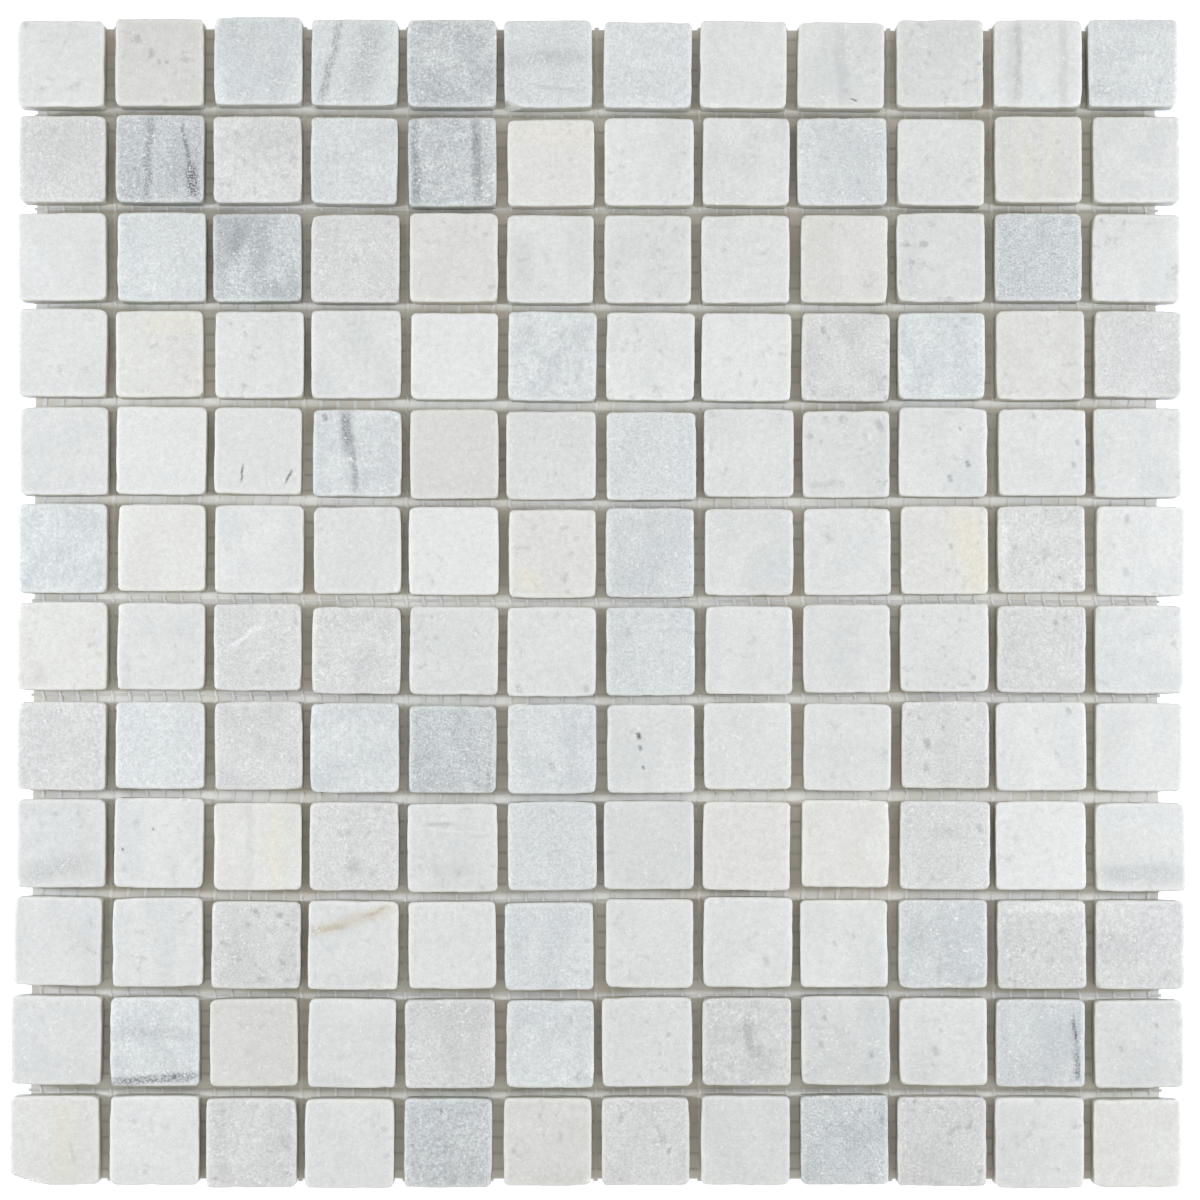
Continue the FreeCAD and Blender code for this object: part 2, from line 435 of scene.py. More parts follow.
break_texture = wear_texture("blow", BREAK_WAVE)
luck = random.Random(LAYING_SEED)


def rough(piece, depth):
    """Crinkle a cutter, so that what it cuts looks broken and not sawn."""
    crinkle = piece.modifiers.new("crinkle", "DISPLACE")
    crinkle.texture = break_texture
    crinkle.texture_coords = "GLOBAL"
    crinkle.strength = depth
    apply_modifiers(piece)


def nick(chip):
    """A small rough pebble that bites the edge round a chip's face."""
    size = luck.uniform(*NICK_ROUND)
    bite = luck.uniform(*NICK_BITE) + ARRIS_ROUND * (math.sqrt(2) - 1)
    along = luck.uniform(-NICK_ALONG, NICK_ALONG) * chip["size"].x
    side = Matrix.Rotation(chip["turn"] + QUARTER_TURN * luck.randrange(4), 3, "Z")
    edge = chip["centre"] + side @ Vector((chip["size"].x / 2, along, 0)) + Vector((0, 0, CHIP_THICK))
    outward = (side @ Vector((1, 0, 1))).normalized()
    middle = edge + outward * (size - bite)
    bpy.ops.mesh.primitive_ico_sphere_add(subdivisions=PEBBLE_STEPS, radius=size, location=middle)
    pebble = bpy.context.object
    bpy.ops.object.transform_apply()
    rough(pebble, PEBBLE_ROUGH * size)
    return pebble


def blow(chip):
    """The rough face left where a corner was knocked off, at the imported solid's own face."""
    place, normal = chip["broken"]
    bpy.ops.mesh.primitive_cube_add(size=BLOW_SIZE)
    block = bpy.context.object
    mode("EDIT")
    bpy.ops.mesh.select_all(action="SELECT")
    bpy.ops.mesh.subdivide(number_cuts=BLOW_CUTS)
    mode("OBJECT")
    block.rotation_mode = "QUATERNION"
    block.rotation_quaternion = normal.to_track_quat("Z", "Y")
    block.location = place + normal * BLOW_SIZE / 2
    bpy.ops.object.transform_apply()
    rough(block, BREAK_ROUGH)
    return block


print("cutters ready")

# %% Build the rows
QUARTERS = [count * QUARTER_TURN for count in range(4)]


def lay_chip(chip, stone):
    """A copy of the chip model, at the size, turn and place of one packed chip."""
    piece = duplicate(chip_model)
    piece.data.materials.append(marbles[stone])
    own_turn = Matrix.Rotation(luck.choice(QUARTERS), 4, "Z")
    stretch = Matrix.Diagonal((chip["size"].x / CHIP_SIDE, chip["size"].y / CHIP_SIDE, 1, 1))
    turned = Matrix.Rotation(chip["turn"], 4, "Z")
    piece.data.transform(Matrix.Translation(chip["centre"]) @ turned @ stretch @ own_turn)
    return piece


def take_away(piece, cutter):
    """Cut a piece with a cutter, which leaves a broken surface."""
    cutter.data.materials.append(marbles["broken"])
    cut = piece.modifiers.new("broken", "BOOLEAN")
    cut.operation = "DIFFERENCE"
    cut.object = cutter
    cut.solver = "EXACT"
    cut.material_mode = "TRANSFER"
    apply_modifiers(piece)
    bpy.data.objects.remove(cutter)


def finish_chip(chip, stone):
    """Lay one chip, wear it, and nick or break it where it is damaged."""
    piece = lay_chip(chip, stone)
    wear_down(piece, side_texture, SIDE_DEPTH)
    wear_down(piece, edge_texture, EDGE_DEPTH)
    apply_modifiers(piece)
    if luck.random() < NICK_SHARE:
        take_away(piece, nick(chip))
    if chip["broken"]:
        take_away(piece, blow(chip))
    return piece


def build_row(number, chips):
    """One row of chips in one mesh."""
    stones = [stone_at(number, column) for column in range(1, len(chips) + 1)]
    return join([finish_chip(*pair) for pair in zip(chips, stones)], f"marble_row_{number:02d}")


rows = [build_row(number, chips) for number, chips in enumerate(chip_rows, start=1)]
bpy.data.objects.remove(chip_model)
for row, node_name in zip(rows, row_names):
    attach(row, "root")
    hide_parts(node_name)
print(f"{len(rows)} rows, {sum(len(row.data.polygons) for row in rows)} faces")

# %% [markdown]
# ## The mesh
# The backing is a leno weave. Single flat wefts run across, and pairs of thinner warps run
# up the sheet and twist half a turn between one weft and the next, so that each weft is
# gripped. A painted pattern could fake this from above, but the back of the sheet shows it
# all, so the yarns are real. One of each kind is shaped and then copied.


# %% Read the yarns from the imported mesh
def boxes_of(node_name):
    """Lowest and highest corner of each solid of a node, in no order."""
    boxes = []
    for solid in solids_of(node_name):
        places = points_of(solid)
        boxes.append((Vector(places.min(0)), Vector(places.max(0))))
        bpy.data.objects.remove(solid)
    return boxes


wefts = sorted(boxes_of("mesh_weft"), key=lambda box: box[0].y)
strands = sorted(boxes_of("mesh_warp"), key=lambda box: box[0].x)
WEFT_WIDE = wefts[0][1].y - wefts[0][0].y
WEFT_PITCH = (wefts[-1][0].y - wefts[0][0].y) / (len(wefts) - 1)
PAIR_WIDE = strands[1][1].x - strands[0][0].x
pair_places = [(a[0].x + b[1].x) / 2 for a, b in zip(strands[0::2], strands[1::2])]
MESH_THICK = strands[0][1].z
warp_low, warp_high = strands[0][0].y, strands[0][1].y
weft_low, weft_high = wefts[0][0].x, wefts[0][1].x
first_weft = (wefts[0][0].y + wefts[0][1].y) / 2
print(f"{len(wefts)} wefts at {WEFT_PITCH / MM:.1f} mm, {len(pair_places)} warp pairs")

# %% Shape one weft, a flat straight bundle
YARN_SIDES = 6
YARN_THICK = MESH_THICK * 0.32
WEFT_FLAT = WEFT_WIDE * 0.92
WEFT_STEPS = 64
weft_length = weft_high - weft_low
weft_middle = (weft_low + weft_high) / 2


def straight_yarn(length, turn, section, middle):
    """A straight yarn of flat section, turned to its run and put at its place."""
    bpy.ops.object.select_all(action="DESELECT")
    bpy.ops.mesh.primitive_cylinder_add(vertices=YARN_SIDES, radius=0.5, depth=length, rotation=turn)
    yarn = bpy.context.object
    bpy.ops.object.transform_apply()
    yarn.scale = section
    yarn.location = middle
    bpy.ops.object.transform_apply()
    return yarn


weft_model = straight_yarn(
    weft_length, (0, QUARTER_TURN, 0), (1, WEFT_FLAT, YARN_THICK), (weft_middle, 0, MESH_THICK / 2)
)
pick_edges(weft_model, lambda a, b: abs(a.x - b.x) > weft_length / 2)
bpy.ops.mesh.subdivide(number_cuts=WEFT_STEPS)
mode("OBJECT")
print(f"weft: {len(weft_model.data.polygons)} faces")

# %% Shape one warp strand, winding round the middle of its pair
STEPS_PER_PITCH = 3
STRAND_WIDE = 0.72 * MM
SWAY = (PAIR_WIDE - STRAND_WIDE) / 2
CLIMB = (MESH_THICK - YARN_THICK) / 2
QUICK_CROSS = 5.0
warp_length = warp_high - warp_low
warp_middle = (warp_low + warp_high) / 2

strand_model = straight_yarn(
    warp_length, (QUARTER_TURN, 0, 0), (STRAND_WIDE, 1, YARN_THICK), (0, warp_middle, MESH_THICK / 2)
)
pick_edges(strand_model, lambda a, b: abs(a.y - b.y) > warp_length / 2)
bpy.ops.mesh.subdivide(number_cuts=round(warp_length / WEFT_PITCH) - 1)
pick_edges(strand_model, lambda a, b: abs(a.y - b.y) > NEAR)
bpy.ops.mesh.subdivide(number_cuts=STEPS_PER_PITCH - 1)
mode("OBJECT")


def wind(strand, half_turns):
    """Wind a straight strand round the pair's middle, over one weft and under the next."""
    for vertex in strand.data.vertices:
        turn = math.pi * ((vertex.co.y - first_weft) / WEFT_PITCH + half_turns + 0.5)
        vertex.co.x += SWAY * max(-1.0, min(1.0, QUICK_CROSS * math.cos(turn)))
        vertex.co.z += CLIMB * math.sin(turn)


print(f"strand: {len(strand_model.data.polygons)} faces")

# %% Lay all the yarns
YARN_SMOOTH = 70
across_pairs = [Vector((x, 0, 0)) for x in pair_places]
up_wefts = [Vector((0, (low.y + high.y) / 2, 0)) for low, high in wefts]


def copy_along(model, offsets, name):
    """Copies of a yarn at each offset, joined into one piece."""
    copies = []
    for offset in offsets:
        copy = duplicate(model)
        copy.data.transform(Matrix.Translation(offset))
        copies.append(copy)
    return join(copies, name)


other_model = duplicate(strand_model)
wind(strand_model, 0)
wind(other_model, 1)
weft = copy_along(weft_model, up_wefts, "weft_yarns")
warp_one = copy_along(strand_model, across_pairs, "warp_strands_one")
warp_two = copy_along(other_model, across_pairs, "warp_strands_two")
for model in (weft_model, strand_model, other_model):
    bpy.data.objects.remove(model)
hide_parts("mesh_weft")
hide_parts("mesh_warp")
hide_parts("mesh_warp")
for yarns in (weft, warp_one, warp_two):
    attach(yarns, "root")
    smooth(yarns, YARN_SMOOTH)
print(f"yarns: {sum(len(piece.data.polygons) for piece in (weft, warp_one, warp_two))} faces")

# %% [markdown]
# ## The glue
# A milky glue holds the chips to the mesh. It wells up into the joints and closes the
# holes of the mesh there, so the joints look filled with a thin pale film and not open.
# A sheet is cut along the edges of each row and column of chips, the patches under the
# chips come out, and noise makes the borders wander.

# %% Pour the glue film into the joints
GLUE_THICK = 0.14 * MM
GLUE_LOW = 0.04 * MM
GLUE_CELL = 2.0 * MM
GLUE_REACH = 2.0 * MM
SMEAR_SIZE = 16 * MM
SMEAR_LEVEL = 0.22
BORDER_EASE = 0.5
BORDER_PASSES = 2

bpy.ops.object.select_all(action="DESELECT")
bpy.ops.mesh.primitive_grid_add(
    x_subdivisions=round(weft_length / GLUE_CELL), y_subdivisions=round(warp_length / GLUE_CELL), size=1
)
glue = bpy.context.object
glue.name = "glue_film"
glue.scale = (weft_length, warp_length, 1)
glue.location = (weft_middle, warp_middle, GLUE_LOW)
bpy.ops.object.transform_apply()

chip_finder = mathutils.kdtree.KDTree(len(all_chips))
for number, chip in enumerate(all_chips):
    chip_finder.insert(chip["centre"], number)
chip_finder.balance()


def left_dry(place, normal):
    """True where no glue shows: well under a chip, and not in a smear."""
    offset = place - chip_finder.find(place)[0]
    under = HALF - max(abs(offset.x), abs(offset.y))
    smear = mathutils.noise.noise(place / SMEAR_SIZE)
    return under > GLUE_REACH and smear < SMEAR_LEVEL


pick_faces(glue, left_dry)
bpy.ops.mesh.delete(type="FACE")
bpy.ops.mesh.select_all(action="SELECT")
bpy.ops.mesh.vertices_smooth(factor=BORDER_EASE, repeat=BORDER_PASSES)
mode("OBJECT")
film = glue.modifiers.new("film", "SOLIDIFY")
film.thickness = GLUE_THICK
film.offset = 1.0
apply_modifiers(glue)
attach(glue, "root")
print(f"glue: {len(glue.data.polygons)} faces")

# %% [markdown]
# ## Tools for the finishes
# A finish is a tree of nodes. Building one by hand means adding a node, typing its values
# and drawing its wires, so the first helper does just that. Effects that several materials
# share, such as the grain of the stone, are built once as a group with named sockets, and
# each material places the group with its own values.


# %% Helpers for node trees
def add(tree, kind, inputs=None, **settings):
    """Add a node, choose its settings, and set or wire its inputs."""
    node = tree.nodes.new(kind)
    for name, value in settings.items():
        setattr(node, name, value)
    for name, value in (inputs or {}).items():
        if isinstance(value, bpy.types.NodeSocket):
            tree.links.new(value, node.inputs[name])
        else:
            node.inputs[name].default_value = value
    return node


def sum_of(tree, operation, a, b=0.0):
    """One Math node, as its result."""
    return add(tree, "ShaderNodeMath", {0: a, 1: b}, operation=operation).outputs[0]


def times(tree, a, b):
    """Two numbers multiplied."""
    return sum_of(tree, "MULTIPLY", a, b)


def product(tree, vector, factors):
    """Two vectors or colours multiplied, part by part."""
    return add(tree, "ShaderNodeVectorMath", {0: vector, 1: factors}, operation="MULTIPLY").outputs[0]


def parts_of(tree, vector):
    """The three parts of a vector, named X, Y and Z."""
    return add(tree, "ShaderNodeSeparateXYZ", {"Vector": vector}).outputs


def blend(tree, share, under, over):
    """One colour laid over another by a share from 0 to 1."""
    return add(tree, "ShaderNodeMix", {0: share, 6: under, 7: over}, data_type="RGBA").outputs[2]


def fade(tree, value, zero_at, one_at):
    """A mask that rises softly from 0 to 1 between two values."""
    limits = {"Value": value, "From Min": zero_at, "From Max": one_at}
    return add(tree, "ShaderNodeMapRange", limits, interpolation_type="SMOOTHSTEP").outputs[0]


def noise(tree, place, size, detail=2.0, rough=0.5):
    """Soft noise of about that size, in the units of the place."""
    scale = sum_of(tree, "DIVIDE", 1.0, size)
    inputs = {"Vector": place, "Scale": scale, "Detail": detail, "Roughness": rough}
    return add(tree, "ShaderNodeTexNoise", inputs).outputs["Fac"]


def around_one(tree, value, swing):
    """Noise as a factor that swings about one. Most noise lies from 0.3 to 0.7."""
    limits = {"Value": value, "From Min": 0.3, "From Max": 0.7, "To Min": 1 - swing, "To Max": 1 + swing}
    return add(tree, "ShaderNodeMapRange", limits).outputs[0]


def attribute(tree, name):
    """What was written on the mesh under that name, as a vector."""
    return add(tree, "ShaderNodeAttribute", attribute_name=name).outputs["Vector"]


def new_group(name, vectors, numbers, outputs):
    """An empty node group with named sockets, and its two end nodes."""
    group = bpy.data.node_groups.new(name, "ShaderNodeTree")
    for label in vectors:
        group.interface.new_socket(label, in_out="INPUT", socket_type="NodeSocketVector")
    for label in numbers:
        group.interface.new_socket(label, in_out="INPUT", socket_type="NodeSocketFloat")
    for label in outputs:
        group.interface.new_socket(label, in_out="OUTPUT", socket_type="NodeSocketFloat")
    start = group.nodes.new("NodeGroupInput").outputs
    end = group.nodes.new("NodeGroupOutput").inputs
    return group, start, end


def place_group(tree, group, inputs):
    """Place a group with its own values, as its outputs."""
    return add(tree, "ShaderNodeGroup", inputs, node_tree=group).outputs


print("node helpers ready")

# %% [markdown]
# ## What makes it marble
# This marble is a mass of small crystals, so close up it looks like packed sugar, and here
# and there a cluster of crystals glints; the glints are painted as lighter spots in the
# colour. Behind the grain lie clouds, which are drawn out along the bedding of the rock, soft
# mottling and groups of smoky flecks. All of it is three-dimensional noise, so it runs on
# round the edges as in real stone.

# %% Group: clouds, mottling and flecks in the stone
BEDDING = (1.0, 0.4, 1.0)
GROUP_SIZE = 9.0
MOTTLE_SIZE = 1.4
MOTTLE_ROUGH = 0.6
CLOUD_SHOWS = (0.36, 0.66)
FLECK_SHOWS = (0.55, 0.76)
GROUP_SHOWS = (0.40, 0.58)

clouds, start, end = new_group(
    "stone clouds", ["Place"], ["Cloud Size", "Fleck Size"], ["Cloud", "Mottle", "Fleck"]
)
bedded = product(clouds, start["Place"], BEDDING)
drawn = noise(clouds, bedded, start["Cloud Size"], detail=3.0)
clouds.links.new(fade(clouds, drawn, *CLOUD_SHOWS), end["Cloud"])
clouds.links.new(noise(clouds, start["Place"], MOTTLE_SIZE, rough=MOTTLE_ROUGH), end["Mottle"])
fleck = fade(clouds, noise(clouds, start["Place"], start["Fleck Size"]), *FLECK_SHOWS)
together = fade(clouds, noise(clouds, start["Place"], GROUP_SIZE, detail=0.0), *GROUP_SHOWS)
clouds.links.new(times(clouds, fleck, together), end["Fleck"])
print("clouds group ready")

# %% Group: sugar grain and painted glints
GRAIN_ROUGH = 0.7
APART = (50.0, 50.0, 50.0)
GLINT_GROWTH = 1.5
GLINT_SHOWS = (0.62, 0.70)
CLUSTER_SIZE = 4.0
CLUSTER_SHOWS = (0.46, 0.62)

grain, start, end = new_group("sugar grain", ["Place"], ["Crystal Size"], ["Shade", "Painted Glint"])
grain.links.new(noise(grain, start["Place"], start["Crystal Size"], rough=GRAIN_ROUGH), end["Shade"])
# The glints are painted light: lighter spots that stand for crystals catching the light.
elsewhere = add(grain, "ShaderNodeVectorMath", {0: start["Place"], 1: APART}).outputs[0]
large = times(grain, start["Crystal Size"], GLINT_GROWTH)
glint = fade(grain, noise(grain, elsewhere, large, detail=1.0), *GLINT_SHOWS)
cluster = fade(grain, noise(grain, elsewhere, CLUSTER_SIZE, detail=0.0), *CLUSTER_SHOWS)
grain.links.new(times(grain, glint, cluster), end["Painted Glint"])
print("grain group ready")

# %% Group: a mark in the stone
FADES_ACROSS = (1.0, 0.2)
FADES_ALONG = (1.0, 0.3)

mark, start, end = new_group(
    "mark in the stone", ["Chip Place", "At", "Reach"], ["Wander", "Specks", "Broken Up"], ["Mask"]
)
at = parts_of(mark, start["At"])
reach = parts_of(mark, start["Reach"])
middle = add(mark, "ShaderNodeCombineXYZ", {"X": at["X"], "Y": at["Y"]}).outputs[0]
offset = add(mark, "ShaderNodeVectorMath", {0: start["Chip Place"], 1: middle}, operation="SUBTRACT")
back = times(mark, at["Z"], -1.0)
turned = add(
    mark, "ShaderNodeVectorRotate", {"Vector": offset.outputs[0], "Angle": back}, rotation_type="Z_AXIS"
)
beside = parts_of(mark, turned.outputs["Vector"])
wandering = sum_of(mark, "ADD", beside["X"], times(mark, start["Wander"], reach["Z"]))
across_it = sum_of(mark, "DIVIDE", sum_of(mark, "ABSOLUTE", wandering), reach["X"])
along_it = sum_of(mark, "DIVIDE", sum_of(mark, "ABSOLUTE", beside["Y"]), reach["Y"])
soft = times(mark, fade(mark, across_it, *FADES_ACROSS), fade(mark, along_it, *FADES_ALONG))
broken_up = add(mark, "ShaderNodeMix", {0: start["Broken Up"], 2: 1.0, 3: start["Specks"]}).outputs[0]
mark.links.new(times(mark, soft, broken_up), end["Mask"])
print("mark group ready")

# %% Group: the worn rim with its painted highlight, and the sides below it
RAGGED_SIZE = 2.2
RAGGED = 1.2
RIM_FULL = 0.3
SIDE_STARTS = (0.4, 1.4)

# The rim is lighter for two causes: rubbed stone is whiter, and a painted highlight stands for the bright
# edge that light gives the marble.
rim, start, end = new_group("worn rim and painted highlight", ["Chip Place", "Stone Place"], ["Width"], ["Rim", "Side"])
place = parts_of(rim, start["Chip Place"])
from_middle = [sum_of(rim, "ABSOLUTE", place[axis]) for axis in "XY"]
to_edge = sum_of(rim, "SUBTRACT", HALF / MM, sum_of(rim, "MAXIMUM", *from_middle))
below_face = sum_of(rim, "SUBTRACT", CHIP_THICK / MM, place["Z"])
from_arris = sum_of(rim, "MAXIMUM", to_edge, below_face)
uneven = sum_of(rim, "SUBTRACT", noise(rim, start["Stone Place"], RAGGED_SIZE, detail=1.0), 0.5)
ragged = sum_of(rim, "ADD", from_arris, times(rim, uneven, RAGGED))
rim.links.new(fade(rim, ragged, start["Width"], RIM_FULL), end["Rim"])
rim.links.new(fade(rim, below_face, *SIDE_STARTS), end["Side"])
print("rim group ready")

# %% Marble
SLATE = (0.10, 0.11, 0.13, 1)
RUST = (0.56, 0.44, 0.28, 1)
HONEY_STONE = (0.80, 0.745, 0.61, 1)
CALCITE_AND_GLINT = (0.88, 0.89, 0.89, 1)
# The rim's colour: rubbed stone, and painted highlight.
WORN_AND_HIGHLIGHT = (0.88, 0.88, 0.87, 1)
OLIVE_SIDE = (0.90, 0.895, 0.81, 1)
BROWN_SIDE = (0.99, 0.93, 0.86, 1)
SIDE_PATCH = 20.0
HALF_SHOWS = (0.40, 0.60)
MARKS_IN_CHIP = 3
WANDER_SIZE = 6.0
SPECK_SIZE = 0.5
SPECK_ROUGH = 0.6


def add_marks(tree, colour, on_chip, in_stone):
    """Lay the marks of a chip over its colour."""
    wander = sum_of(tree, "SUBTRACT", noise(tree, in_stone, WANDER_SIZE), 0.5)
    specks = fade(tree, noise(tree, in_stone, SPECK_SIZE, detail=1.0, rough=SPECK_ROUGH), *HALF_SHOWS)
    for number in range(1, MARKS_IN_CHIP + 1):
        tone = parts_of(tree, attribute(tree, f"mark_tone_{number}"))
        inputs = {
            "Chip Place": on_chip, "Wander": wander, "Specks": specks, "Broken Up": tone["Z"],
            "At": attribute(tree, f"mark_at_{number}"), "Reach": attribute(tree, f"mark_reach_{number}"),
        }
        share = times(tree, place_group(tree, mark, inputs)["Mask"], tone["X"])
        mineral = SLATE
        for step, other in enumerate((RUST, HONEY_STONE, CALCITE_AND_GLINT)):
            mineral = blend(tree, sum_of(tree, "SUBTRACT", tone["Y"], step), mineral, other)
        colour = blend(tree, share, colour, mineral)
    return colour


CLOUD_SIZE = 8.0
FLECK_SIZE = 2.4
RIM_WIDE = 1.5
RIM_SHARE = 0.30
GRAIN_RELIEF = 0.3
GRAIN_DEPTH = 0.03 * MM
HONED = {
    "Subsurface Weight": 1.0,
    "Subsurface Radius": (1.0, 0.85, 0.65),
    "Subsurface Scale": 2.0 * MM,
    "Specular IOR Level": 0.35,
    "Roughness": 0.5,
}


def marble(name, stone, cloud, fleck, contrast=0.15, crystal=0.5, mottling=0.05, painted_glint=0.8):
    """Finish a honed marble: its colours, how far its crystals show, and its painted glints."""
    material = marbles[name]
    material.use_nodes = True
    tree = material.node_tree
    shader = tree.nodes["Principled BSDF"]
    on_chip = attribute(tree, "on_chip")
    in_stone = attribute(tree, "in_stone")
    own = parts_of(tree, attribute(tree, "own"))
    figure = place_group(
        tree, clouds, {"Place": in_stone, "Cloud Size": CLOUD_SIZE, "Fleck Size": FLECK_SIZE}
    )
    sugar = place_group(tree, grain, {"Place": in_stone, "Crystal Size": crystal})
    edge = place_group(tree, rim, {"Chip Place": on_chip, "Stone Place": in_stone, "Width": RIM_WIDE})
    colour = blend(tree, times(tree, figure["Cloud"], own["Y"]), stone, cloud)
    colour = blend(tree, times(tree, figure["Fleck"], own["Z"]), colour, fleck)
    colour = add_marks(tree, colour, on_chip, in_stone)
    lit = times(tree, around_one(tree, figure["Mottle"], mottling), own["X"])
    lit = times(tree, around_one(tree, sugar["Shade"], contrast), lit)
    colour = add(tree, "ShaderNodeVectorMath", {0: colour, "Scale": lit}, operation="SCALE").outputs[0]
    # Painted glint: the colour is lightened where crystals would catch the light.
    colour = blend(tree, times(tree, sugar["Painted Glint"], painted_glint), colour, CALCITE_AND_GLINT)
    if name != "broken":
        patch = fade(tree, noise(tree, in_stone, SIDE_PATCH, detail=0.0), *HALF_SHOWS)
        side = product(tree, colour, blend(tree, patch, OLIVE_SIDE, BROWN_SIDE))
        colour = blend(tree, edge["Side"], colour, side)
    # Lighten the rim, partly for wear and partly as a painted highlight.
    colour = blend(tree, times(tree, edge["Rim"], RIM_SHARE), colour, WORN_AND_HIGHLIGHT)
    tree.links.new(colour, shader.inputs["Base Color"])
    relief = {"Strength": GRAIN_RELIEF, "Distance": GRAIN_DEPTH, "Height": sugar["Shade"]}
    tree.links.new(add(tree, "ShaderNodeBump", relief).outputs["Normal"], shader.inputs["Normal"])
    shader.subsurface_method = "BURLEY"
    for label, value in HONED.items():
        shader.inputs[label].default_value = value


# %% The marbles
marble(
    "white", (0.755, 0.765, 0.765, 1), (0.69, 0.71, 0.715, 1), (0.55, 0.56, 0.565, 1),
    contrast=0.07, painted_glint=0.7,
)
marble(
    "misty", (0.705, 0.735, 0.75, 1), (0.62, 0.65, 0.675, 1), (0.49, 0.515, 0.545, 1),
    crystal=0.6, mottling=0.06,
)
marble(
    "pearl", (0.71, 0.715, 0.72, 1), (0.635, 0.64, 0.65, 1), (0.48, 0.485, 0.495, 1),
    crystal=0.6, mottling=0.06,
)
marble(
    "cream", (0.752, 0.756, 0.742, 1), (0.712, 0.709, 0.69, 1), (0.56, 0.553, 0.54, 1),
    contrast=0.07, painted_glint=0.6,
)
marble(
    "smoky", (0.63, 0.66, 0.68, 1), (0.48, 0.51, 0.54, 1), (0.34, 0.37, 0.41, 1),
    contrast=0.26, crystal=0.55, mottling=0.10,
)
marble(
    "broken", (0.80, 0.81, 0.81, 1), (0.72, 0.73, 0.73, 1), (0.60, 0.61, 0.61, 1),
    crystal=0.8, mottling=0.03, painted_glint=0.3,
)
print(f"{len(marbles)} marbles finished")

# %% [markdown]
# ## Each chip's own piece of stone
# If every chip read the noise at its place on the sheet, clouds would run on from chip to
# chip, as they never do. So each chip carries where it was cut from: a place far away in
# the block, turned by quarter turns. It also carries its place across the chip, for the
# rim and the marks, and how light, cloudy and flecked it is. Some chips have a vein, a
# spot or a crack that catches the eye, so these are placed one by one from a list.

# %% The marks that stand out
SLATY, RUSTY, HONEY, WHITE_VEIN = 0, 1, 2, 3
UPRIGHT, LEVEL = 0, QUARTER_TURN
SPOT_LEAN = 0.3
SPOT_WIDE = 0.9
SPOT_LONG = 1.3
SPOT_SPECKS = 0.5


def spot(x, y, size, strength):
    """A soft dark spot, a little longer than it is wide."""
    return (x, y, SPOT_LEAN, SPOT_WIDE * size, SPOT_LONG * size, strength, SPOT_SPECKS)


